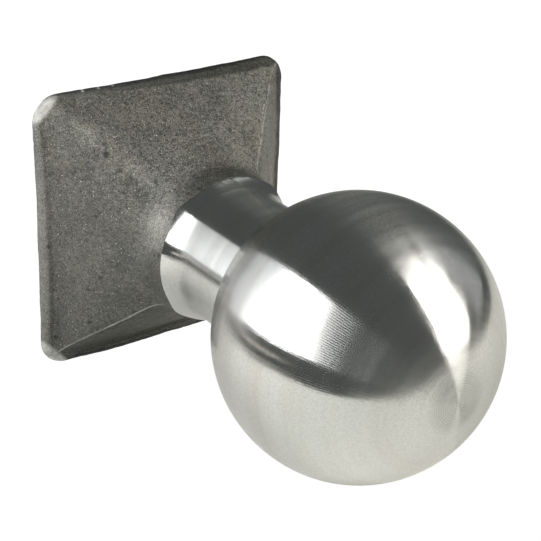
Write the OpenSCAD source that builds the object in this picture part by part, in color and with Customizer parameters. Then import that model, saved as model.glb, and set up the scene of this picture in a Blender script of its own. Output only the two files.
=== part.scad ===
// Gooseneck hitch ball of the weld-on pattern, in millimetres.
// A turned ball stud stands in a drop-forged square base, and a ring of weld holds its shank
// from below. The origin is the middle of the base's underside, and +Z runs up through the ball.

/* [Ball] */
// Diameter of the ball, 2 5/16 inch
ball_d = 58.74; // [47.5:0.01:77]
// Height of the ball's centre above the base's underside
ball_height = 73.4; // [65:0.1:110]
// Diameter of the small turned flat on top of the ball
top_flat_d = 7; // [3:0.5:14]

/* [Neck] */
// Diameter of the turned neck under the ball
neck_d = 30.6; // [25:0.1:38]
// Radius of the fillet between the neck and the ball
neck_fillet = 3; // [1:0.5:6]

/* [Shank and weld] */
// Width of the shoulder that the neck keeps all round the thinner, hidden shank below it
shoulder_w = 3.3; // [1:0.1:6]
// Clearance on radius between the shank and its bore, where 0 is a press fit
shank_fit = 0; // [0:0.01:0.1]
// Depth of the weld groove around the shank's end, from the underside
groove_depth = 8; // [4:0.5:14]
// Width of the weld groove at its root
groove_root = 2; // [1:0.25:3]
// Width of the weld groove at the underside
groove_mouth = 6; // [3.5:0.25:9]
// Depth of the weld's face and the shank's end inside the underside
weld_recess = 0.8; // [0.3:0.1:2]

/* [Base outline] */
// Width of the square base across its flats
base_w = 66; // [58:0.5:90]
// Radius of the base's four corners in plan
corner_r = 6; // [3:0.5:12]
// Depth of the inward bow in the middle of each side
side_bow = 0.3; // [0:0.1:1]

/* [Base rim] */
// Thickness of the rim in the middle of each side
rim_h = 3; // [2.4:0.1:6]
// Drop of the rim's thickness at the corners
corner_drop = 1.4; // [0:0.1:1.4]
// Radius of the rim's upper edge
rim_round = 1.2; // [0.5:0.1:1.3]
// Width of the narrow ledge between the rounded edge and the foot of the faces
rim_ledge = 1; // [0.5:0.1:3]
// Bevel around the lower edge of the rim
edge_break = 0.3; // [0.1:0.05:0.3]

/* [Boss] */
// How far the raw round boss, where the four faces end, stands out around the neck
boss_margin = 2; // [1:0.1:6]
// Height at which the line of the faces would meet the boss's wall
face_top = 20.2; // [14:0.2:22]
// Radius of the hollow where the faces turn up into the boss
boss_fillet = 7; // [3:0.5:9]
// Amount that the four ridges still stand out of the boss's wall
ridge_swell = 0.5; // [0:0.1:1]
// Height of the boss's top, where the neck's shoulder is seated
boss_top = 29.7; // [28:0.1:34]
// Slope of the turned cone around the boss's top, from level
cone_slope = 53; // [45:1:65]

/* [Hidden] */
$fn = 96;

ball_r = ball_d / 2;
neck_r = neck_d / 2;
shank_r = neck_r - shoulder_w;
bore_r = shank_r + shank_fit;
boss_r = neck_r + boss_margin;
half_w = base_w / 2;

// Steps of the base's skin: around it, along the rounded edge, up the faces and in the hollow
AROUND = 96;
ROUND_STEPS = 4;
FACE_STEPS = 4;
HOLLOW_STEPS = 5;
// Points crowd towards the corners by this share of the even spacing
CROWDING = 0.6;
// Sharpness of the corner drop and of the ridge swell around the corner's direction
DROP_POWER = 10;
SWELL_POWER = 16;
// Length that a cut runs past the surface that it opens
PAST = 1;

// Angle of skin point number i, crowded towards the four corners
function skin_angle(i) =
    let (even = i * 360 / AROUND)
    even + CROWDING / 4 * 180 / PI * sin(4 * even);

// Angle away from the nearest side's middle, 0 to 45
function fold(a) =
    let (q = a - 90 * floor(a / 90))
    min(q, 90 - q);

// 1 in a corner's direction and 0 in the middle of a side
function cornerness(a, power) = pow(abs(sin(2 * a)), power);

// Distance from the axis to a rounded square of half width h and corner radius r
function square_reach(a, h, r) =
    let (
        q = fold(a),
        flat = h - r,
        along = flat * (cos(q) + sin(q))
    )
    h * tan(q) <= flat ? h / cos(q) : along + sqrt(along * along - 2 * flat * flat + r * r);

// The side's inward bow, full in the middle of the side and none where the corner starts
function bow(a) =
    let (share = half_w * tan(fold(a)) / (half_w - corner_r))
    side_bow * max(0, 1 - share * share);

// Outline of the rim, moved in by d all round
function rim_reach(a, d) = square_reach(a, half_w - d, max(corner_r - d, 0.5)) - bow(a);

// Height of the rim's flat top at angle a
function rim_top(a) = rim_h - corner_drop * cornerness(a, DROP_POWER);

// Radius of the boss's raw wall at angle a
function boss_reach(a) = boss_r + ridge_swell * cornerness(a, SWELL_POWER);

// Slope, from level, of the straight line up the face at angle a
function face_slope(a) =
    atan2(face_top - rim_top(a), rim_reach(a, rim_round + rim_ledge) - boss_reach(a));

// Length from the meeting point of face and wall to either end of the hollow between them
function hollow_run(a) = boss_fillet * tan((90 - face_slope(a)) / 2);

// Skin profile at angle a, as [distance from the axis, height], from the underside upwards
function rim_profile(a) = [
    [rim_reach(a, edge_break), 0],
    [rim_reach(a, 0), edge_break],
    for (k = [0 : ROUND_STEPS])
        let (t = 90 * k / ROUND_STEPS)
        [
            rim_reach(a, rim_round * (1 - cos(t))),
            max(rim_top(a) - rim_round * (1 - sin(t)), edge_break + 0.02 * (k + 1))
        ]
];

function face_profile(a) =
    let (
        slope = face_slope(a),
        foot = [rim_reach(a, rim_round + rim_ledge), rim_top(a)],
        end = [boss_reach(a) + hollow_run(a) * cos(slope), face_top - hollow_run(a) * sin(slope)]
    )
    [for (k = [0 : FACE_STEPS]) foot + (end - foot) * k / FACE_STEPS];

function hollow_profile(a) = [
    for (k = [HOLLOW_STEPS - 1 : -1 : 0])
        let (t = (90 - face_slope(a)) * k / HOLLOW_STEPS)
        [
            boss_reach(a) + boss_fillet * (1 - cos(t)),
            face_top + hollow_run(a) - boss_fillet * sin(t)
        ]
];

function skin_profile(a) = concat(
    rim_profile(a),
    face_profile(a),
    hollow_profile(a),
    [[boss_reach(a), boss_top + PAST]]
);

// The forging before any turning: a closed skin of rings, with a flat underside and a flat top
module raw_forging() {
    angles = [for (i = [0 : AROUND - 1]) skin_angle(i)];
    profiles = [for (a = angles) skin_profile(a)];
    rings = len(profiles[0]);
    points = [
        for (k = [0 : rings - 1])
            for (i = [0 : AROUND - 1])
                [profiles[i][k][0] * cos(angles[i]), profiles[i][k][0] * sin(angles[i]), profiles[i][k][1]]
    ];
    underside = [for (i = [0 : AROUND - 1]) i];
    top = [for (i = [AROUND - 1 : -1 : 0]) (rings - 1) * AROUND + i];
    walls = [
        for (k = [0 : rings - 2])
            for (i = [0 : AROUND - 1])
                let (
                    j = (i + 1) % AROUND,
                    low = k * AROUND,
                    high = low + AROUND
                )
                each [[low + i, high + i, high + j], [low + i, high + j, low + j]]
    ];
    polyhedron(points = points, faces = concat([underside], walls, [top]));
}

// What the lathe takes off around the boss's top: all that lies outside its cone
module turning_waste() {
    reach = boss_r + ridge_swell + PAST;
    rotate_extrude()
        polygon([
            [neck_r, boss_top],
            [reach, boss_top - (reach - neck_r) * tan(cone_slope)],
            [reach, boss_top + 2 * PAST],
            [0, boss_top + 2 * PAST],
            [0, boss_top]
        ]);
}

// Radius of the weld groove's outer wall at height z above the underside
function groove_wall(z) =
    bore_r + groove_mouth - (groove_mouth - groove_root) * z / groove_depth;

module base_forging() {
    color("dimgray")
        difference() {
            raw_forging();
            turning_waste();
            translate([0, 0, -PAST])
                cylinder(r = bore_r, h = boss_top + 2 * PAST);
            translate([0, 0, -PAST])
                cylinder(r1 = groove_wall(-PAST), r2 = groove_wall(groove_depth), h = groove_depth + PAST);
        }
}

// Height of the middle of the fillet's circle between the neck and the ball
fillet_z = ball_height - sqrt(pow(ball_r + neck_fillet, 2) - pow(neck_r + neck_fillet, 2));
// Angle, below level, of the line from the ball's centre to the fillet's circle
fillet_angle = atan2(ball_height - fillet_z, neck_r + neck_fillet);
// Angle of the ball's arc at which the top flat starts
flat_angle = acos(top_flat_d / 2 / ball_r);

module ball() {
    translate([0, 0, ball_height])
        intersection() {
            sphere(r = ball_r);
            translate([0, 0, -ball_r - PAST])
                cylinder(r = ball_r + PAST, h = ball_r + PAST + ball_r * sin(flat_angle));
        }
}

// The ring of metal between the neck and the ball, hollowed by the fillet's circle
module neck_root() {
    touch_r = neck_r + neck_fillet - neck_fillet * cos(fillet_angle);
    touch_z = fillet_z + neck_fillet * sin(fillet_angle);
    rotate_extrude()
        difference() {
            polygon([
                [0, fillet_z],
                [neck_r, fillet_z],
                [neck_r + neck_fillet, fillet_z],
                [touch_r, touch_z],
                [0, ball_height]
            ]);
            translate([neck_r + neck_fillet, fillet_z])
                circle(r = neck_fillet);
        }
}

module ball_stud() {
    color("silver")
        union() {
            ball();
            neck_root();
            translate([0, 0, boss_top])
                cylinder(r = neck_r, h = fillet_z - boss_top);
            translate([0, 0, weld_recess])
                cylinder(r = shank_r, h = boss_top - weld_recess);
        }
}

module root_weld() {
    color("slategray")
        rotate_extrude()
            polygon([
                [shank_r, weld_recess],
                [groove_wall(weld_recess), weld_recess],
                [groove_wall(groove_depth), groove_depth],
                [shank_r, groove_depth]
            ]);
}

base_forging();
ball_stud();
root_weld();
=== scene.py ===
"""Looks of a weld-on gooseneck hitch ball: a turned steel ball stud in a forged square base.

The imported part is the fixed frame. Three pieces stand for its three nodes, each with a finer mesh:
the forged base with its raw, shot-blasted skin, the turned ball stud, and the weld bead underneath.
Lengths are in millimetres up to the point where a mesh is made, and meshes are in metres. The
studio at the end of the file is in metres throughout.
"""
import math

import bpy
import numpy as np
from mathutils import Matrix, Vector


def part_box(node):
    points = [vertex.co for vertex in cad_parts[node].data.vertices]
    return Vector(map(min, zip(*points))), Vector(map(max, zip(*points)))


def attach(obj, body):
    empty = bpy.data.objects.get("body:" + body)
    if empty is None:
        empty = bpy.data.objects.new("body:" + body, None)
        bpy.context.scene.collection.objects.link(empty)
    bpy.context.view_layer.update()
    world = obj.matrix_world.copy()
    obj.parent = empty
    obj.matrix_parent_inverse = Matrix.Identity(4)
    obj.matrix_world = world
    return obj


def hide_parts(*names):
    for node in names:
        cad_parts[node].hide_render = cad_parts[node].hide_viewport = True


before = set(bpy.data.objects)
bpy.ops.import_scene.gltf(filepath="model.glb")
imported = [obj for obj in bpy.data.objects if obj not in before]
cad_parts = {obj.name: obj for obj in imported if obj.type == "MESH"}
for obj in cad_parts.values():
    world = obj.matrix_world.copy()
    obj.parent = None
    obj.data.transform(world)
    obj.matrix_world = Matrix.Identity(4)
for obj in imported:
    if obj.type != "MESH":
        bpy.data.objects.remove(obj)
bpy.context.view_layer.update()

MM = 0.001
SEED = 7
SHARP_EDGE = math.radians(30)  # bends beyond this angle are shaded as edges

# ---------------------------------------------------------------- sizes, from the frame

TOP_FLAT_R = 3.5                     # radius of the turned flat on top of the ball
BASE_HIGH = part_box("base_forging")[1]
STUD_LOW, STUD_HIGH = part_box("ball_stud")
WELD_LOW, WELD_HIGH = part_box("root_weld")

HALF_W = round(BASE_HIGH.x / MM, 1)  # half of the base's width across its flats
BOSS_TOP = BASE_HIGH.z / MM          # the neck's shoulder sits at this height
BALL_R = STUD_HIGH.x / MM
BALL_Z = STUD_HIGH.z / MM - math.sqrt(BALL_R ** 2 - TOP_FLAT_R ** 2)
SHANK_END = STUD_LOW.z / MM
WELD_FACE = WELD_LOW.z / MM
WELD_TOP = WELD_HIGH.z / MM
WELD_R = WELD_HIGH.x / MM

# ---------------------------------------------------------------- sizes of the turned stud

NECK_R = 15.3
NECK_FILLET = 3.0        # radius of the fillet between the neck and the ball
SHANK_R = 12.0
SHANK_BEVEL = 0.4
FLARE_END = 4.0          # the boss's turned cone runs out into the neck this far above its top
FLARE_POWER = 3.0
CROWN = 0.12             # the top flat isn't quite flat
AXIS_GAP = 0.01          # the skin stops just short of the axis

CHATTER_MARKS = 352      # fine ripples that the tool's chatter leaves round the axis
CHATTER_DEPTH = 0.06     # how much they change the finish's roughness
CHATTER_BAND = (24, 42)  # latitudes on the ball between which they show
STREAKS = 10             # broader waves round the axis, per radian
STREAK_HEIGHT = 0.012
GRAIN_HEIGHT = 0.004     # the fine grain that blurs the finish all over

POLE_REACH = 12.0        # feed rings are modelled this far round the pole
RING_FADE = 6.0          # width over which they grow to their full height
RING_START = 1.5         # and width over which they fade again towards the axis
RING_PITCH = 0.5
RING_HEIGHT = 0.004
RING_PATCH = 1.1         # size of the places where they are stronger or weaker
RING_REACH = 7.5         # they also tint the finish this far round the pole

# Rows of the stud's skin from the shank's end up to the pole, and its columns round the axis
SHANK_ROWS = 7
SHOULDER_ROWS = 3
NECK_ROWS = 59
FILLET_ROWS = 23
BALL_ROWS = 299
POLE_ROWS = 119
CROWN_ROWS = 59
STUD_COLUMNS = 320

# ---------------------------------------------------------------- sizes of the weld bead

GROOVE_ROOT = 2.0        # width of the weld's groove at its root
GROOVE_LIP = 0.4         # the groove's mouth is wider than the bead by this
WELD_RIPPLES = 58        # ripples of the bead round the shank
WELD_CURVE = 1.6         # how far each ripple lags at the bead's edges, in radians
WELD_CROWN = 0.3
WELD_RIPPLE_HEIGHT = 0.25
WELD_SIDE_ROWS = 12      # rows on each of the four sides of its section
WELD_COLUMNS = 720

# ---------------------------------------------------------------- sizes of the forged base

CORNER_R = 6.0           # radius of the four corners in plan
LEAST_CORNER_R = 0.5     # and the least radius of an outline inside them
SIDE_BOW = 0.3           # inward bow in the middle of each side
RIM_H = 3.0
CORNER_DROP = 1.4        # the rim is thinner by this at the corners
DROP_POWER = 10          # sharpness of that drop round the corner's direction
RIM_ROUND = 1.9          # radius of the rim's upper edge
LEAST_WALL = 0.2         # height of the rim's wall that the rounded edge always leaves
RIM_LEDGE = 0.3          # width of the flat between the rounded edge and the foot of the faces
EDGE_BREAK = 0.3         # bevel of the rim's lower edge
BOSS_R = NECK_R + 2.0
FACE_TOP = 20.2          # height at which the line of the faces would meet the boss's wall
BOSS_FILLET = 7.0        # radius of the hollow between the faces and the boss
RIDGE_SWELL = 0.5        # how far the four ridges still stand out of the boss's wall
SWELL_POWER = 16
CONE_SLOPE = math.radians(53)  # slope of the turned cone round the boss's top, from level

RIM_SWELL = 0.3          # the whole rim stands out by this
FAR_SIDE_SWELL = 0.9     # and is higher by this on its +Y side
RIM_BAND = 4.0           # the swell starts this far inside the rim's edge
RIM_BLEND = 3.0          # and is full after this width
FULL_LIFT = 2.0          # height above which the far side is lifted in full

# Rows of the base's skin from the weld's groove out, up and in to the neck, and its columns
UNDERSIDE_ROWS = 16
WALL_ROWS = 5
ROUND_ROWS = 14
LEDGE_ROWS = 4
FACE_ROWS = 63
HOLLOW_ROWS = 15
BOSS_ROWS = 13
CONE_ROWS = 11
BASE_COLUMNS = 960
CROWDING = 0.6           # share by which the columns crowd towards the corners

# The profile's bends are eased from the rounded edge to the middle of the faces
ROUND_START = UNDERSIDE_ROWS + WALL_ROWS
EASE_FROM = ROUND_START + ROUND_ROWS // 2 - 1
EASE_TO = ROUND_START + ROUND_ROWS + LEDGE_ROWS + FACE_ROWS // 2
EASE_PASSES = 12

# ---------------------------------------------------------------- marks on the forged base

RELIEF = ((0.10, 15), (0.09, 5), (0.05, 1.6), (0.030, 0.7))  # height and size of the skin's lumps
PITS = 90
PIT_WIDTHS = (0.25, 0.6)
PIT_DEPTH = 0.08

# Bright places: two corners and a few scratches are worn bright; the rim's upper edge is partly worn
# and partly a painted highlight, strongest on its lit +X side; burrs on the rim and the sharp crests
# of two ridges carry painted glints and highlights as well as wear
RIM_BRIGHT = 0.17
RIM_BRIGHT_BAND = 1.0      # width of the bright edge
RIM_BRIGHT_BLEND = 0.5
WORN_CORNERS = (         # direction, how deep it is flattened, and to what depth it is bright from wear
    ((0.68, -0.66, 0.30), 0.25, 2.1),
    ((0.72, 0.62, 0.30), 0.10, 2.4),
)
RUB_BLEND = 0.35         # share of that depth over which the brightness grows
CORNER_LIFT = 0.2        # the corners are rubbed more evenly than the crests
BURRS = ((21.3, -33.2, 1.2), (17.4, -33.2, 1.2), (13.8, -33.2, 1.1))
BURR_SIZE = 0.42
BURR_HEIGHT = 0.22
SCRATCHES = ((-23.0, -24.2, 8.2), (-22.6, -23.8, 8.6), (-22.3, -23.4, 9.0), (-21.9, -22.9, 9.5))
SCRATCH_SIZE = 0.25
SCRATCH_WEAR = 0.7
CRESTS = ((45, 1.0), (225, 0.5))  # corners, in degrees, and how sharp each one's ridge is
CREST_WIDTH = 0.24
CREST_HEIGHT = 0.10
CREST_START = 2.0        # width, outside the boss, over which a crest grows
CREST_SHINE = 0.8

DENT = (21.0, -21.5, 10.8)
DENT_SIZE = 0.75
DENT_DEPTH = 0.5

# Painted light: the hollow under the cone, with a painted reflection of the light off the turned
# cone, and a soft ridge with a painted highlight on its -Y side
LIT_HOLLOW = (14.9, -7.8, 23.8)
LIT_HOLLOW_SIZE = 5.0
LIT_HOLLOW_SHARE = 0.85
SOFT_RIDGE = math.radians(-45)    # direction of the corner whose ridge is lighter on its -Y side
RIDGE_WIDTH = 1.8
RIDGE_SHARE = 0.2

# Darker places: painted shade along the rim's walls and over parts of the faces where they are in
# shade, and a few darker spots near a ridge
SHADE_EDGE = 31.0        # the painted shade starts this far from the axis
SHADE_SPREAD = 0.03      # and reaches further in along the -Y wall towards the -X side
SIDE_SPREAD = 0.5        # and along the -X wall
SHADE_FADE = 0.9
SHADE_RAGGED = 0.35      # how far its edge wanders
SIDE_WALL_SHADE = 0.85
FOOT_FACE_SHADE = 0.50   # the foot is the +Y side
SIDE_FACE_SHADE = 0.16   # the side is the -X side
TOP_FACE_SHADE = 0.3     # the top is the -Y side, where only the outer part is darkened
TOP_FACE_START = 26
TOP_FACE_FADE = 6
FACE_BLEND = 0.6         # width of the change between two faces
DARK_SPOTS = ((17.9, -15.6, 15.4), (16.6, -13.4, 17.2), (16.0, -11.6, 18.4))
DARK_SPOT_SIZE = 1.5
DARK_SPOT_SHARE = 0.45


# ---------------------------------------------------------------- noise

def lattice_value(ix, iy, iz, seed):
    """A fixed pseudo-random number from 0 to 1 for each point of a lattice."""
    h = (ix * 374761393 + iy * 668265263 + iz * 2147483647 + seed * 1274126177) & 0xFFFFFFFF
    h = ((h ^ (h >> 13)) * 1274126177) & 0xFFFFFFFF
    h = ((h ^ (h >> 16)) * 2246822519) & 0xFFFFFFFF
    return (h ^ (h >> 15)) / 0xFFFFFFFF


def noise(points, cell, seed):
    """Smooth noise from -1 to 1 at points (n, 3), with lumps about one cell wide."""
    q = points / cell
    base = np.floor(q).astype(np.int64)
    t = q - base
    t = t * t * (3 - 2 * t)
    total = np.zeros(len(points))
    for dx in (0, 1):
        for dy in (0, 1):
            for dz in (0, 1):
                weight = np.ones(len(points))
                for axis, d in enumerate((dx, dy, dz)):
                    weight *= t[:, axis] if d else 1 - t[:, axis]
                corner = base + (dx, dy, dz)
                total += weight * lattice_value(corner[:, 0], corner[:, 1], corner[:, 2], seed)
    return 2 * total - 1


def patchy(points, cell, seed, middle, swing=1.0):
    """A factor from 0 to 1 that changes over patches about one cell wide."""
    return np.clip(middle + swing * noise(points, cell, seed), 0, 1)


# ---------------------------------------------------------------- meshes

def revolve(reach, height, angles):
    """Points at these distances from the axis, heights and angles, as a grid (rows, columns, 3)."""
    x, y = reach * np.cos(angles), reach * np.sin(angles)
    return np.stack(np.broadcast_arrays(x, y, height), -1)


def even_angles(count):
    return np.arange(count) * 2 * np.pi / count


def sheet_mesh(name, points, closed=True):
    """A mesh from a grid of points in millimetres, whose columns run round the axis.

    Where the grid is closed, its last row joins its first.
    """
    rows, columns = points.shape[:2]
    r = np.arange(rows if closed else rows - 1)
    r0, c0 = (m.ravel() for m in np.meshgrid(r, np.arange(columns), indexing="ij"))
    r1, c1 = (r0 + 1) % rows, (c0 + 1) % columns
    corners = (r0 * columns + c0, r0 * columns + c1, r1 * columns + c1, r1 * columns + c0)
    corners = np.stack(corners, 1)
    mesh = bpy.data.meshes.new(name)
    mesh.vertices.add(rows * columns)
    mesh.vertices.foreach_set("co", (points * MM).astype(np.float32).ravel())
    mesh.loops.add(corners.size)
    mesh.loops.foreach_set("vertex_index", corners.astype(np.int32).ravel())
    mesh.polygons.add(len(corners))
    mesh.polygons.foreach_set("loop_start", np.arange(0, corners.size, 4, dtype=np.int32))
    mesh.update(calc_edges=True)
    mesh.validate()
    return mesh


def add_object(name, mesh):
    thing = bpy.data.objects.new(name, mesh)
    bpy.context.scene.collection.objects.link(thing)
    return thing


def add_piece(name, mesh, node, slot, *materials):
    """Adds a mesh as a piece that stands for a CAD node, with the given finishes. The slot is not
    used.
    """
    mesh.shade_smooth()
    mesh.set_sharp_from_angle(angle=SHARP_EDGE)
    piece = add_object(name, mesh)
    for material in materials:
        mesh.materials.append(material)
    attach(piece, "root")
    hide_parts(node)


def set_attribute(mesh, name, values):
    attribute = mesh.attributes.new(name, "FLOAT", "POINT")
    attribute.data.foreach_set("value", values.astype(np.float32).ravel())


# ---------------------------------------------------------------- the forged base's shape

def fold(a):
    """Angle away from the nearest side's middle, 0 to 45 degrees, in radians."""
    q = np.mod(a, np.pi / 2)
    return np.minimum(q, np.pi / 2 - q)


def cornerness(a, power):
    """1 in a corner's direction and 0 in the middle of a side."""
    return np.abs(np.sin(2 * a)) ** power


def square_reach(a, h, r):
    """Distance from the axis to a rounded square of half width h and corner radius r."""
    q = fold(a)
    flat = h - r
    along = flat * (np.cos(q) + np.sin(q))
    rounded = along + np.sqrt(np.maximum(along ** 2 - 2 * flat ** 2 + r ** 2, 0))
    return np.where(h * np.tan(q) <= flat, h / np.cos(q), rounded)


def rim_reach(a, inset):
    """Distance from the axis to the rim's outline, moved in by inset all round."""
    share = HALF_W * np.tan(fold(a)) / (HALF_W - CORNER_R)
    bow = SIDE_BOW * np.maximum(0, 1 - share ** 2)
    return square_reach(a, HALF_W - inset, max(CORNER_R - inset, LEAST_CORNER_R)) - bow


def cone_foot(boss):
    """Height at which the turned cone starts on a boss of this radius."""
    return BOSS_TOP - (boss - NECK_R) * math.tan(CONE_SLOPE)


def flare(height, boss):
    """Radius of the turned flare, at a height, between the boss's edge and the straight neck."""
    share = (BOSS_TOP + FLARE_END - height) / (BOSS_TOP + FLARE_END - cone_foot(boss))
    return NECK_R + (boss - NECK_R) * np.clip(share, 0, 1) ** FLARE_POWER


def base_profile(a):
    """Rows of (distance from the axis, height) at the angles a, and the region each row starts."""
    rows, regions = [], []

    def add(region, reach, height):
        row = [np.broadcast_to(reach, a.shape), np.broadcast_to(height, a.shape)]
        rows.append(np.stack(row, -1))
        regions.append(region)

    rim_top = RIM_H - CORNER_DROP * cornerness(a, DROP_POWER)
    boss = BOSS_R + RIDGE_SWELL * cornerness(a, SWELL_POWER)
    toe = rim_reach(a, RIM_ROUND + RIM_LEDGE)
    slope = np.arctan2(FACE_TOP - rim_top, toe - boss)
    run = BOSS_FILLET * np.tan((np.pi / 2 - slope) / 2)
    mouth = WELD_R + GROOVE_LIP

    for t in np.linspace(0, 1, UNDERSIDE_ROWS):
        add("underside", mouth + (rim_reach(a, EDGE_BREAK) - mouth) * t, 0)
    rounded = np.minimum(RIM_ROUND, rim_top - EDGE_BREAK - LEAST_WALL)
    for t in np.linspace(0, 1, WALL_ROWS):
        add("forged", rim_reach(a, 0), EDGE_BREAK + (rim_top - rounded - EDGE_BREAK) * t)
    for t in np.linspace(0, np.pi / 2, ROUND_ROWS + 1)[1:]:
        inset = RIM_ROUND * (1 - math.cos(t))
        add("forged", rim_reach(a, inset), rim_top - rounded * (1 - math.sin(t)))
    for t in np.linspace(0, 1, LEDGE_ROWS + 1)[1:]:
        add("forged", rim_reach(a, RIM_ROUND + RIM_LEDGE * t), rim_top)
    foot_r, foot_z = boss + run * np.cos(slope), FACE_TOP - run * np.sin(slope)
    for t in np.linspace(0, 1, FACE_ROWS + 1)[1:]:
        add("forged", toe + (foot_r - toe) * t, rim_top + (foot_z - rim_top) * t)
    wall_z = FACE_TOP + run
    for t in np.linspace(1, 0, HOLLOW_ROWS + 1)[1:]:
        turn = (np.pi / 2 - slope) * t
        add("forged", boss + BOSS_FILLET * (1 - np.cos(turn)), wall_z - BOSS_FILLET * np.sin(turn))
    for t in np.linspace(0, 1, BOSS_ROWS + 1)[1:]:
        add("forged", boss, wall_z + (cone_foot(boss) - wall_z) * t)
    regions[-1] = "turned"
    for t in np.linspace(0, 1, CONE_ROWS + 1)[1:]:
        height = cone_foot(boss) + (BOSS_TOP - cone_foot(boss)) * t
        add("turned", flare(height, boss), height)
    for reach, height in (
        (SHANK_R, BOSS_TOP),
        (SHANK_R, WELD_TOP),
        (SHANK_R + GROOVE_ROOT, WELD_TOP),
    ):
        add("turned", reach, height)
    return np.array(rows), regions


def ease(rows, first, last, passes):
    """Rounds the bends of the profile between two of its rows."""
    for _ in range(passes):
        before, after = rows[first - 1:last - 1], rows[first + 1:last + 1]
        rows[first:last] += 0.25 * (before - 2 * rows[first:last] + after)


def swell_rim(rows, angles):
    """Moves the whole rim out a little, and up on its +Y side."""
    share = np.clip((rows[..., 0] - rim_reach(angles, RIM_BAND)) / RIM_BLEND, 0, 1)
    lifted = np.clip(rows[..., 1] / FULL_LIFT, 0, 1)
    rows[..., 0] += RIM_SWELL * share
    rows[..., 1] += FAR_SIDE_SWELL * share * lifted * np.maximum(np.sin(angles), 0)


def grid_normals(points):
    """Unit normals of a grid that wraps both ways, pointing out of the solid."""
    across = np.roll(points, -1, 0) - np.roll(points, 1, 0)
    along = np.roll(points, -1, 1) - np.roll(points, 1, 1)
    n = np.cross(along, across)
    return n / np.maximum(np.linalg.norm(n, axis=-1, keepdims=True), 1e-9)


def forged_relief(p):
    """Height of the raw forged skin over its plain shape, in millimetres."""
    return sum(height * noise(p, size, SEED + i) for i, (height, size) in enumerate(RELIEF))


def pits(p, count, widths, seed):
    """How deep, from 0 to 1, each point lies in one of the small pits at random places."""
    rng = np.random.default_rng(seed)
    chosen = p[rng.integers(0, len(p), count)]
    deep = np.zeros(len(p))
    for centre, width in zip(chosen, rng.uniform(*widths, count)):
        deep = np.maximum(deep, spots(p, (centre,), width))
    return deep


def spots(points, places, size):
    """How near, from 0 to 1, each point is to the nearest of a few places."""
    near = [np.exp(-(np.linalg.norm(points - at, axis=1) / size) ** 4) for at in places]
    return np.max(near, axis=0)


def crests(turned_to, reach):
    """How near, from 0 to 1, each point is to the sharp crest of a ridge."""
    total = np.zeros(len(reach))
    for corner, share in CRESTS:
        away = turned_to - math.radians(corner)
        near = np.exp(-(reach * np.sin(away) / CREST_WIDTH) ** 2) * (np.cos(away) > 0)
        total += share * near * np.clip((reach - BOSS_R) / CREST_START, 0, 1)
    return total


def wear_corner(points, way, flattened, made_bright):
    """Flattens the outermost part of a corner: (points, how bright the wear makes each one)."""
    way = np.array(way) / np.linalg.norm(way)
    inside = (points @ way).max() - points @ way
    bright_marks = np.clip((made_bright - inside) / (RUB_BLEND * made_bright), 0, 1)
    return points + np.minimum(inside - flattened, 0)[:, None] * way, bright_marks


def rim_sheen_and_wear(points, turned_to):
    """How bright the rim's upper edge is, worn and painted as a highlight, most on its lit +X side.
    """
    edge = np.hypot(points[:, 0], points[:, 1]) - rim_reach(turned_to, RIM_BRIGHT_BAND)
    side = np.clip(0.3 + 0.7 * np.cos(turned_to), 0.05, 1)
    return RIM_BRIGHT * np.clip(edge / RIM_BRIGHT_BLEND, 0, 1) * side


def painted_light_places(points, turned_to, reach):
    """How much painted light, from 0 to 1, brightens the skin under the cone and along the soft
    ridge.
    """
    hollow_light = np.exp(-(np.linalg.norm(points - LIT_HOLLOW, axis=1) / LIT_HOLLOW_SIZE) ** 2)
    away = turned_to - SOFT_RIDGE
    beside = np.exp(-((-reach * np.sin(away) - RIDGE_WIDTH) / RIDGE_WIDTH) ** 2)
    patches = patchy(points, cell=2.5, seed=SEED + 7, middle=0.7)
    ridge = beside * (np.cos(away) > 0) * patches
    return LIT_HOLLOW_SHARE * hollow_light + RIDGE_SHARE * ridge


def coarseness_and_light(points, reach):
    """How coarse the blasted grain is: most towards the -X -Y corner, least opposite it. Above 1 it
    also brightens the skin towards that corner, as painted light.
    """
    return np.clip(0.5 - 0.6 * (points[:, 0] + points[:, 1]) / reach, 0, 1.4)


def painted_shade_and_spots(points):
    """How much painted shade, from 0 to 1, darkens each point of the base's skin: bands along the
    rim's walls and over parts of the faces where they are in shade, and a few darker spots.
    """
    x, y = points[:, 0], points[:, 1]
    ragged = SHADE_RAGGED * noise(points, cell=2.2, seed=SEED + 6)
    top_wall = (-y - SHADE_EDGE - SHADE_SPREAD * x + ragged) / SHADE_FADE
    foot_wall = (y - SHADE_EDGE + ragged) / SHADE_FADE
    side_wall = (-x - SHADE_EDGE + SIDE_SPREAD + ragged) / SHADE_FADE
    walls = np.clip(np.max([top_wall, foot_wall, SIDE_WALL_SHADE * side_wall], axis=0), 0, 1)
    top_face = TOP_FACE_SHADE * np.clip((-y - TOP_FACE_START) / TOP_FACE_FADE, 0, 1)
    foot_face = FOOT_FACE_SHADE * np.clip((y - np.abs(x)) / FACE_BLEND, 0, 1)
    side_face = SIDE_FACE_SHADE * np.clip((-x - np.abs(y)) / FACE_BLEND, 0, 1)
    patches = patchy(points, cell=1.2, seed=SEED + 8, middle=0.6)
    spotted = DARK_SPOT_SHARE * spots(points, DARK_SPOTS, DARK_SPOT_SIZE) * patches
    return np.max([walls, foot_face, top_face, side_face, spotted], axis=0)


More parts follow.
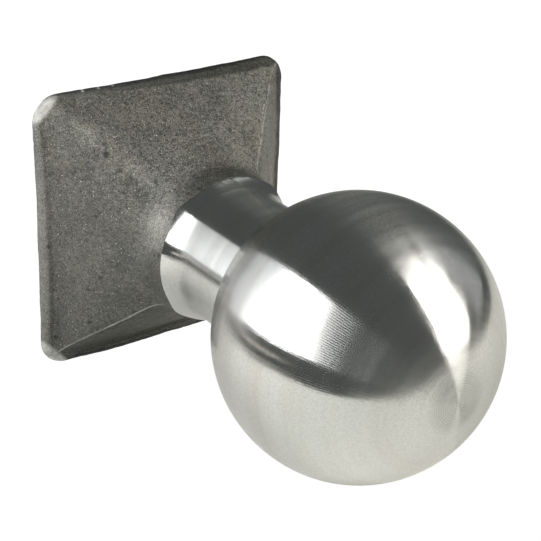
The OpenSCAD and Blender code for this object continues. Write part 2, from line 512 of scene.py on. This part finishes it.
def make_base():
    even = even_angles(BASE_COLUMNS)
    angles = even + CROWDING / 4 * np.sin(4 * even)
    rows, regions = base_profile(angles)
    ease(rows, EASE_FROM, EASE_TO, EASE_PASSES)
    swell_rim(rows, angles)
    grid = revolve(rows[..., 0], rows[..., 1], angles)
    normals = grid_normals(grid).reshape(-1, 3)
    skin = grid.reshape(-1, 3)
    turned_to = np.arctan2(skin[:, 1], skin[:, 0])
    reach = np.hypot(skin[:, 0], skin[:, 1])
    raw = np.repeat([float(region == "forged") for region in regions], BASE_COLUMNS)

    pitted = raw * pits(skin, PITS, PIT_WIDTHS, SEED)
    crested = raw * crests(turned_to, reach)
    burred = raw * spots(skin, BURRS, BURR_SIZE)
    scratched = raw * spots(skin, SCRATCHES, SCRATCH_SIZE)
    dented = raw * spots(skin, (DENT,), DENT_SIZE)
    shift = raw * forged_relief(skin) - PIT_DEPTH * pitted
    shift = shift + CREST_HEIGHT * crested + BURR_HEIGHT * burred - DENT_DEPTH * dented
    skin = skin + normals * shift[:, None]
    skin[:, 2] = np.maximum(skin[:, 2], 0)

    streaks = patchy(skin, cell=3, seed=SEED + 5, middle=0.75, swing=0.8)
    # Bright marks: burrs and crests are painted glints and highlights as well as wear, the rim's
    # edge is worn and painted as a highlight on its lit side, and the corners are worn
    bright = [burred, SCRATCH_WEAR * scratched, CREST_SHINE * crested * streaks]
    bright.append(rim_sheen_and_wear(skin, turned_to))
    for way, flattened, made_bright in WORN_CORNERS:
        skin, here = wear_corner(skin, way, flattened, made_bright)
        bright.append(here * np.clip(streaks + CORNER_LIFT, 0, 1))

    mesh = sheet_mesh("forged_base", skin.reshape(grid.shape))
    # Painted shade on the rim's walls and parts of the faces, and a few darker spots
    set_attribute(mesh, "shade_and_spots", painted_shade_and_spots(skin) * raw)
    # Painted light under the cone and beside the soft ridge; the coarseness above 1 is painted light
    # too
    set_attribute(mesh, "painted_light", painted_light_places(skin, turned_to, reach))
    set_attribute(mesh, "coarse", coarseness_and_light(skin, reach))
    set_attribute(mesh, "pitted", np.maximum(pitted, dented))
    # Wear, and painted glints and highlights
    set_attribute(mesh, "bright_marks", np.max(bright, axis=0) * raw)
    material = np.repeat([region == "turned" for region in regions], BASE_COLUMNS)
    mesh.polygons.foreach_set("material_index", material.astype(np.int32))
    finishes = forged_steel(), turned_steel("turned_cone", roughness=0.13)
    add_piece("forged_base", mesh, "base_forging", "forged_steel", *finishes)


# ---------------------------------------------------------------- the turned stud's shape

def arc(centre, radius, start, end, steps):
    """Points of an arc as (distance from the axis, height), after its first one.

    Angles are from level, in radians.
    """
    return [
        (centre[0] + radius * math.cos(t), centre[1] + radius * math.sin(t))
        for t in np.linspace(start, end, steps + 1)[1:]
    ]


def make_stud():
    fillet_r = NECK_R + NECK_FILLET
    fillet_z = BALL_Z - math.sqrt((BALL_R + NECK_FILLET) ** 2 - fillet_r ** 2)
    tilt = math.atan2(BALL_Z - fillet_z, fillet_r)
    coarse = math.acos(POLE_REACH / BALL_R)
    flat = math.acos(TOP_FLAT_R / BALL_R)
    flat_z = BALL_Z + BALL_R * math.sin(flat)
    shank_z = SHANK_END + SHANK_BEVEL

    profile = [(AXIS_GAP, SHANK_END), (SHANK_R - SHANK_BEVEL, SHANK_END), (SHANK_R, shank_z)]
    for z in np.linspace(shank_z, BOSS_TOP, SHANK_ROWS + 1)[1:]:
        profile.append((SHANK_R, z))
    for r in np.linspace(SHANK_R, flare(BOSS_TOP, BOSS_R), SHOULDER_ROWS + 1)[1:]:
        profile.append((r, BOSS_TOP))
    for z in np.linspace(BOSS_TOP, fillet_z, NECK_ROWS + 1)[1:]:
        profile.append((flare(z, BOSS_R), z))
    profile += arc((fillet_r, fillet_z), NECK_FILLET, math.pi, math.pi - tilt, FILLET_ROWS)
    profile += arc((0, BALL_Z), BALL_R, -tilt, coarse, BALL_ROWS)
    pole_start = len(profile)
    profile += arc((0, BALL_Z), BALL_R, coarse, flat, POLE_ROWS)
    for r in np.linspace(TOP_FLAT_R, AXIS_GAP, CROWN_ROWS + 1)[1:]:
        profile.append((r, flat_z + CROWN * (1 - (r / TOP_FLAT_R) ** 2)))

    rows = np.array(profile)
    reach = rows[pole_start:, 0]
    fade = np.clip((POLE_REACH - reach) / RING_FADE, 0, 1) ** 2 * np.clip(reach / RING_START, 0, 1)
    patches = 0.6 + 0.8 * noise(np.stack([reach, 0 * reach, 0 * reach], 1), RING_PATCH, SEED + 9)
    rings = 1 + np.sin(2 * np.pi * reach / RING_PITCH)
    rows[pole_start:, 1] -= RING_HEIGHT * fade * patches * rings
    mesh = sheet_mesh(
        "turned_ball_stud", revolve(rows[:, :1], rows[:, 1:], even_angles(STUD_COLUMNS))
    )
    finish = turned_steel("turned_steel", roughness=0.195)
    add_piece("turned_ball_stud", mesh, "ball_stud", "turned_steel", finish)


# ---------------------------------------------------------------- the weld bead's shape

def make_weld():
    section = [
        (SHANK_R, WELD_FACE),
        (WELD_R, WELD_FACE),
        (SHANK_R + GROOVE_ROOT, WELD_TOP),
        (SHANK_R, WELD_TOP),
    ]
    rows = []
    for (r0, z0), (r1, z1) in zip(section, section[1:] + section[:1]):
        for t in np.linspace(0, 1, WELD_SIDE_ROWS + 1)[:-1]:
            rows.append((r0 + (r1 - r0) * t, z0 + (z1 - z0) * t))
    rows = np.array(rows)
    reach, height = rows[:, :1], rows[:, 1:]
    angles = even_angles(WELD_COLUMNS)
    across = (2 * reach - SHANK_R - WELD_R) / (WELD_R - SHANK_R)
    on_face = (height - WELD_FACE < 0.01) * (1 - across ** 4)
    ripple = 0.5 + 0.5 * np.cos(WELD_RIPPLES * angles + WELD_CURVE * across ** 2)
    height = height - on_face * (WELD_CROWN + WELD_RIPPLE_HEIGHT * ripple)
    mesh = sheet_mesh("root_weld_bead", revolve(reach, height, angles))
    add_piece("root_weld_bead", mesh, "root_weld", "weld_metal", weld_metal())


# ---------------------------------------------------------------- materials

class Nodes:
    """A short way to build a material's node tree."""

    def __init__(self, name):
        self.material = bpy.data.materials.new(name)
        self.material.use_nodes = True
        self.tree = self.material.node_tree
        self.shader = self.tree.nodes["Principled BSDF"]

    def add(self, kind, inputs=None, **settings):
        node = self.tree.nodes.new(kind)
        for key, value in settings.items():
            setattr(node, key, value)
        for key, value in (inputs or {}).items():
            self.put(node.inputs[key], value)
        return node

    def put(self, socket, value):
        if isinstance(value, bpy.types.NodeSocket):
            self.tree.links.new(value, socket)
        else:
            socket.default_value = value

    def place(self):
        return self.add("ShaderNodeTexCoord").outputs["Object"]

    def attribute(self, name):
        return self.add("ShaderNodeAttribute", attribute_name=name).outputs["Fac"]

    def math(self, operation, a, b=0.0):
        return self.add("ShaderNodeMath", {0: a, 1: b}, operation=operation).outputs[0]

    def times(self, a, b):
        return self.math("MULTIPLY", a, b)

    def plus(self, a, b):
        return self.math("ADD", a, b)

    def noise(self, vector, scale, detail, roughness=0.5):
        inputs = {"Vector": vector, "Scale": scale, "Detail": detail, "Roughness": roughness}
        return self.add("ShaderNodeTexNoise", inputs).outputs["Fac"]

    def ramp(self, value, low, high, to_low=0.0, to_high=1.0):
        inputs = {"Value": value, 1: low, 2: high, 3: to_low, 4: to_high}
        return self.add("ShaderNodeMapRange", inputs).outputs["Result"]

    def mix(self, factor, a, b, blend="MIX"):
        inputs = {"Factor": factor, 6: a, 7: b}
        node = self.add("ShaderNodeMix", data_type="RGBA", blend_type=blend)
        for key, value in inputs.items():
            self.put(node.inputs[key], value)
        return node.outputs[2]

    def tint(self, colour, by):
        return self.mix(1.0, colour, by, "MULTIPLY")

    def brighten(self, colour, value):
        grey = self.add("ShaderNodeCombineColor", {0: value, 1: value, 2: value}).outputs[0]
        return self.tint(colour, grey)

    def bump(self, height, strength, distance, normal=None):
        inputs = {"Height": height, "Strength": strength, "Distance": distance}
        if normal is not None:
            inputs["Normal"] = normal
        return self.add("ShaderNodeBump", inputs).outputs["Normal"]


# Colours of the forging: its skin, its grain as factors for fine and for coarse places, its painted
# glints, its pits, its painted shade, and the white of its wear and painted highlights
SKIN_GREY = (0.174, 0.172, 0.164, 1)
SKIN_BROWN = (0.208, 0.200, 0.178, 1)
SKIN_GREEN = (0.135, 0.147, 0.135, 1)
GRAIN_DARK = ((0.52, 0.52, 0.53, 1), (0.26, 0.26, 0.27, 1))
GRAIN_LIGHT = ((1.32, 1.32, 1.30, 1), (1.66, 1.65, 1.60, 1))
GLINT_WHITE = (0.72, 0.72, 0.69, 1)
PIT_BLACK = (0.05, 0.055, 0.05, 1)
SHADE_BLACK = (0.030, 0.033, 0.030, 1)
BRIGHT_MARK_WHITE = (0.74, 0.74, 0.72, 1)

# Colours of the turned steel, with its bands, stains, grain and rings, and of the weld
STEEL_GREY = (0.60, 0.615, 0.60, 1)
STEEL_LIGHT = (0.66, 0.65, 0.64, 1)
BAND_GREY = (0.48, 0.49, 0.48, 1)
STAIN_BROWN = (0.52, 0.49, 0.46, 1)
GRAIN_GREY = (0.40, 0.41, 0.41, 1)
RING_GREY = (0.42, 0.43, 0.41, 1)
WELD_DARK = (0.13, 0.13, 0.14, 1)
WELD_LIGHT = (0.26, 0.25, 0.24, 1)


def forged_steel():
    """Raw forged steel, shot-blasted: grey brown, with a fine bright grain and greener patches.

    The mesh's attributes say where it is coarser (coarse, which above 1 also brightens the skin as
    painted light), where painted light brightens it, where it is bright with wear and with painted
    glints and highlights, where it is darker in its pits (pitted), and where painted shade and a few
    darker spots darken it.
    """
    n = Nodes("forged_steel")
    place = n.place()
    coarse, bright_marks = n.attribute("coarse"), n.attribute("bright_marks")

    warm = n.ramp(n.noise(place, scale=90, detail=4, roughness=0.65), 0.38, 0.62)
    green = n.ramp(n.noise(place, scale=170, detail=3, roughness=0.6), 0.45, 0.65)
    shade = n.ramp(n.noise(place, scale=130, detail=3, roughness=0.6), 0.38, 0.55, 0.84, 1.0)
    body = n.mix(warm, SKIN_GREY, SKIN_BROWN)
    body = n.mix(n.times(green, 0.5), body, SKIN_GREEN)
    body = n.brighten(body, shade)

    grain = n.noise(place, scale=3300, detail=2, roughness=0.9)
    clumps = n.noise(place, scale=1100, detail=2, roughness=0.6)
    speckle = n.ramp(n.plus(grain, n.times(clumps, 0.4)), 0.56, 0.84)
    dark = n.tint(body, n.mix(coarse, *GRAIN_DARK))
    light = n.tint(body, n.mix(coarse, *GRAIN_LIGHT))
    body = n.mix(speckle, dark, light)
    # Painted light: the skin is brightened towards the -X -Y corner, under the cone and along the
    # soft ridge
    lift = n.times(n.ramp(coarse, 1.05, 1.35, 1.0, 1.3), n.ramp(n.attribute("painted_light"), 0, 1, 1.0, 3.0))
    body = n.brighten(body, lift)

    # Painted glints: sparse white specks stand for the sparkle of the blasted grain
    glints = n.ramp(n.noise(place, scale=2600, detail=1), 0.69, 0.76)
    body = n.mix(n.times(glints, 0.85), body, GLINT_WHITE)
    body = n.mix(n.times(n.attribute("pitted"), 0.8), body, PIT_BLACK)
    # Painted shade: the rim's walls and parts of the faces are darkened where they are in shade,
    # with a few darker spots
    body = n.mix(n.times(n.attribute("shade_and_spots"), 0.8), body, SHADE_BLACK)
    # Bright marks in white: wear, and painted glints and highlights on the burrs, the crests and the
    # rim's lit edge
    made_bright = n.times(bright_marks, n.ramp(speckle, 0, 1, 0.55, 1.0))
    n.put(n.shader.inputs["Base Color"], n.mix(made_bright, body, BRIGHT_MARK_WHITE))
    n.shader.inputs["Metallic"].default_value = 0.92

    rough = n.ramp(grain, 0.3, 0.7, 0.50, 0.38)
    n.put(n.shader.inputs["Roughness"], n.math("SUBTRACT", rough, n.times(bright_marks, 0.04)))
    fine = n.bump(grain, strength=1.0, distance=0.0003)
    lumps = n.noise(place, scale=620, detail=2)
    normal = n.bump(lumps, strength=0.5, distance=0.0002, normal=fine)
    n.put(n.shader.inputs["Normal"], normal)
    return n.material


def turned_steel(name, roughness):
    """Bare steel straight from the lathe: tool marks run round the axis and stretch highlights."""
    n = Nodes(name)
    place = n.place()
    xyz = n.add("ShaderNodeSeparateXYZ", {0: place}).outputs
    reach = n.math("SQRT", n.plus(n.times(xyz[0], xyz[0]), n.times(xyz[1], xyz[1])))
    turn = n.math("ARCTAN2", xyz[1], xyz[0])
    rings = n.add("ShaderNodeCombineXYZ", {0: n.times(turn, 0.0004), 1: reach, 2: xyz[2]})
    rings = rings.outputs[0]
    bands = n.noise(rings, scale=350, detail=3, roughness=0.6)
    grain = n.noise(place, scale=2400, detail=1)

    cloud = n.ramp(n.noise(place, scale=35, detail=2), 0.35, 0.65)
    stain = n.ramp(n.noise(rings, scale=170, detail=3, roughness=0.7), 0.45, 0.70, 0.0, 0.5)
    colour = n.mix(cloud, STEEL_GREY, STEEL_LIGHT)
    colour = n.mix(n.times(bands, 0.3), colour, BAND_GREY)
    colour = n.mix(stain, colour, STAIN_BROWN)
    colour = n.mix(n.ramp(grain, 0.4, 0.65, 0.0, 0.3), colour, GRAIN_GREY)
    wave = n.math("SINE", n.times(reach, 2 * math.pi / (RING_PITCH * MM)))
    round_pole = n.ramp(reach, RING_REACH * MM, 0.6 * RING_REACH * MM)
    near_pole = n.times(round_pole, n.ramp(xyz[2], BALL_Z * MM, (BALL_Z + 1) * MM))
    feed = n.times(near_pole, n.ramp(wave, -1, 1, 0.25, 1.0))
    n.put(n.shader.inputs["Base Color"], n.mix(feed, colour, RING_GREY))
    n.shader.inputs["Metallic"].default_value = 1.0
    n.shader.inputs["Anisotropic"].default_value = 1.0
    n.shader.inputs["Anisotropic Rotation"].default_value = 0.25
    tangent = n.add("ShaderNodeTangent", direction_type="RADIAL", axis="Z").outputs[0]
    n.put(n.shader.inputs["Tangent"], tangent)

    low, high = ((BALL_Z + BALL_R * math.sin(math.radians(a))) * MM for a in CHATTER_BAND)
    middle, half = (low + high) / 2, (high - low) / 2
    away = n.math("ABSOLUTE", n.math("SUBTRACT", xyz[2], middle))
    chatter = n.times(n.math("SINE", n.times(turn, CHATTER_MARKS)), n.ramp(away, half, 0.5 * half))
    rough = n.ramp(bands, 0.3, 0.7, roughness - 0.03, roughness + 0.03)
    rough = n.plus(rough, n.times(chatter, CHATTER_DEPTH))
    rough = n.plus(rough, n.times(near_pole, 0.04))
    rough = n.plus(rough, n.ramp(grain, 0.35, 0.65, -0.02, 0.02))
    n.put(n.shader.inputs["Roughness"], rough)

    circle = {0: n.math("COSINE", turn), 1: n.math("SINE", turn)}
    around = n.add("ShaderNodeCombineXYZ", circle).outputs[0]
    waves = n.noise(around, scale=STREAKS, detail=4, roughness=0.65)
    marks = n.noise(rings, scale=3000, detail=2)
    normal = n.bump(waves, strength=1.0, distance=STREAK_HEIGHT * MM)
    normal = n.bump(grain, strength=1.0, distance=GRAIN_HEIGHT * MM, normal=normal)
    normal = n.bump(marks, strength=0.08, distance=0.00005, normal=normal)
    n.put(n.shader.inputs["Normal"], normal)
    return n.material


def weld_metal():
    """Weld bead: dark grey steel, bluish in patches, with a fine uneven skin."""
    n = Nodes("weld_metal")
    place = n.place()
    patches = n.ramp(n.noise(place, scale=250, detail=3), 0.35, 0.65)
    skin = n.noise(place, scale=900, detail=2)
    n.put(n.shader.inputs["Base Color"], n.mix(patches, WELD_DARK, WELD_LIGHT))
    n.shader.inputs["Metallic"].default_value = 0.8
    n.put(n.shader.inputs["Roughness"], n.ramp(patches, 0, 1, 0.35, 0.55))
    n.put(n.shader.inputs["Normal"], n.bump(skin, strength=0.4, distance=0.0001))
    return n.material


# ---------------------------------------------------------------- the studio, in metres

# The ball and one edge of the base lie on a white table in the picture, which gives its plane
TABLE_UP = Vector((0, -0.9988, -0.0489)).normalized()
TABLE_GAP = 0.0003       # between the ball and the table
TABLE_FRONT, TABLE_BACK = 0.118, -0.5   # towards the camera, from the ball
TABLE_LEFT, TABLE_RIGHT = -0.26, 0.4
TABLE_COLOUR = (1.0, 1.0, 0.945)

CAMERA_AT = Vector((157.64, -132.78, 249.68)) * MM
CAMERA_FORWARD = Vector((-0.54281, 0.45022, -0.70898)).normalized()
CAMERA_UP = Vector((-0.23536, -0.89189, -0.38618))
LENS = 90.07
SENSOR = 36.0

BALL_CENTRE = Vector((0, 0, BALL_Z)) * MM
TO_CAMERA = (-CAMERA_FORWARD + TABLE_UP * CAMERA_FORWARD.dot(TABLE_UP)).normalized()
TO_RIGHT = TABLE_UP.cross(TO_CAMERA)

# The floor has an opening that the base hides, so that the underside shows from below. From there
# it runs out level, up to the pale surround, and in again over the top: (radius, height)
OPENING = 0.032
FLOOR_PROFILE = (
    (OPENING, 0), (0.3, 0), (1.2, 0), (2.4, 0),
    (3.0, 0.25), (3.25, 0.8), (3.3, 3), (OPENING, 3.3),
)
FLOOR_COLUMNS = 64
FLOOR_GAP = 0.00005      # below the underside
NOT_CAMERA = ("diffuse", "glossy", "transmission", "volume_scatter", "shadow")

WHITE = (1.0, 1.0, 1.0)
COOL = (0.95, 0.98, 1.0)
WARM = (1.0, 0.97, 0.91)
WARMER = (1.0, 0.92, 0.84)
WORLD_COLOUR = (0.93, 1.0, 0.96, 1)
WORLD_STRENGTH = 0.11


def place_by(right, up, back, at):
    """The matrix of a thing whose X, Y and Z axes point right, up and back."""
    return Matrix.Translation(at) @ Matrix((right, up, back)).transposed().to_4x4()


def make_camera():
    data = bpy.data.cameras.new("camera")
    data.lens = LENS
    data.sensor_width = SENSOR
    data.clip_start = 0.01
    data.clip_end = 20
    back = -CAMERA_FORWARD
    right = CAMERA_UP.cross(back).normalized()
    camera = add_object("camera", data)
    camera.matrix_world = place_by(right, back.cross(right), back, CAMERA_AT)
    bpy.context.scene.camera = camera


def soft_box(name, facing, left, right, low, high, distance, radiance, colour=WHITE):
    """An upright soft box. All angles are seen from the ball, in degrees.

    The box's plane is square to the bearing facing, at the distance, and the box fills it from
    bearing left to bearing right, counted from the camera's side to the right. It reaches from
    elevation low to elevation high, as seen along facing.
    """
    turn = math.radians(facing)
    out = TO_CAMERA * math.cos(turn) + TO_RIGHT * math.sin(turn)
    across = TABLE_UP.cross(out)
    start, end = (math.tan(math.radians(b - facing)) * distance for b in (left, right))
    bottom, top = (math.tan(math.radians(e)) * distance for e in (low, high))
    data = bpy.data.lights.new(name, "AREA")
    data.shape = "RECTANGLE"
    data.size = end - start
    data.size_y = top - bottom
    data.energy = radiance * math.pi * data.size * data.size_y
    data.color = colour
    light = add_object(name, data)
    middle = across * (start + end) / 2 + TABLE_UP * (bottom + top) / 2
    light.matrix_world = place_by(across, TABLE_UP, out, BALL_CENTRE + out * distance + middle)
    light.visible_camera = False


def stage_white(name, colour, diffuse, glow):
    """A matt white that also glows a little, for the floor and the table."""
    n = Nodes(name)
    n.shader.inputs["Base Color"].default_value = (*(diffuse * c for c in colour), 1)
    n.shader.inputs["Roughness"].default_value = 1.0
    n.shader.inputs["Specular IOR Level"].default_value = 0.0
    n.shader.inputs["Emission Color"].default_value = (*colour, 1)
    n.shader.inputs["Emission Strength"].default_value = glow
    return n.material


def make_table():
    """The white table that the ball and the base's edge would touch if the object lay on its side.

    It lights the object and shows in its reflections, but the camera doesn't see it.
    """
    touch = BALL_CENTRE - TABLE_UP * (BALL_R * MM + TABLE_GAP)
    places = (
        (TABLE_FRONT, TABLE_LEFT), (TABLE_FRONT, TABLE_RIGHT),
        (TABLE_BACK, TABLE_RIGHT), (TABLE_BACK, TABLE_LEFT),
    )
    corners = [tuple(touch + TO_CAMERA * front + TO_RIGHT * side) for front, side in places]
    mesh = bpy.data.meshes.new("table_card")
    mesh.from_pydata(corners, [], [(0, 1, 2, 3)])
    mesh.materials.append(stage_white("table_white", TABLE_COLOUR, diffuse=0.93, glow=0.10))
    table = add_object("table_card", mesh)
    table.visible_camera = False


def make_floor():
    """A pale floor at the base's underside and a pale surround, which only the camera sees."""
    profile = np.array(FLOOR_PROFILE)
    points = revolve(profile[:, :1], profile[:, 1:], even_angles(FLOOR_COLUMNS))
    points[..., 2] -= FLOOR_GAP
    mesh = sheet_mesh("floor", points / MM, closed=False)
    mesh.materials.append(stage_white("floor_pale", WHITE, diffuse=0.1, glow=1.0))
    floor = add_object("floor", mesh)
    for ray in NOT_CAMERA:
        setattr(floor, "visible_" + ray, False)


def make_world():
    world = bpy.data.worlds.new("world")
    bpy.context.scene.world = world
    world.use_nodes = True
    background = world.node_tree.nodes["Background"]
    background.inputs["Color"].default_value = WORLD_COLOUR
    background.inputs["Strength"].default_value = WORLD_STRENGTH


def make_lights():
    """Two large soft boxes give the ball's left and right highlights; the rest fill their edges."""
    soft_box(
        "left_box", facing=-60, left=-95, right=-35, low=7, high=51,
        distance=0.2, radiance=3.9,
    )
    soft_box(
        "left_wall", facing=-60, left=-138, right=-95, low=-0.5, high=51,
        distance=0.2, radiance=0.7, colour=COOL,
    )
    soft_box(
        "left_strip", facing=-90, left=-150, right=-62, low=-3.4, high=-0.8,
        distance=0.35, radiance=0.8, colour=WARMER,
    )
    soft_box(
        "right_box", facing=80, left=60, right=91, low=6, high=52,
        distance=0.45, radiance=7.5, colour=WARM,
    )
    soft_box(
        "right_lobe", facing=80, left=91, right=103, low=34, high=47,
        distance=0.45, radiance=3.0, colour=WARM,
    )
    soft_box(
        "right_fade", facing=110, left=103, right=128, low=5, high=50,
        distance=0.45, radiance=0.4,
    )


make_base()
make_stud()
make_weld()
make_camera()
make_world()
make_floor()
make_table()
make_lights()
bpy.context.scene.view_settings.view_transform = "Standard"
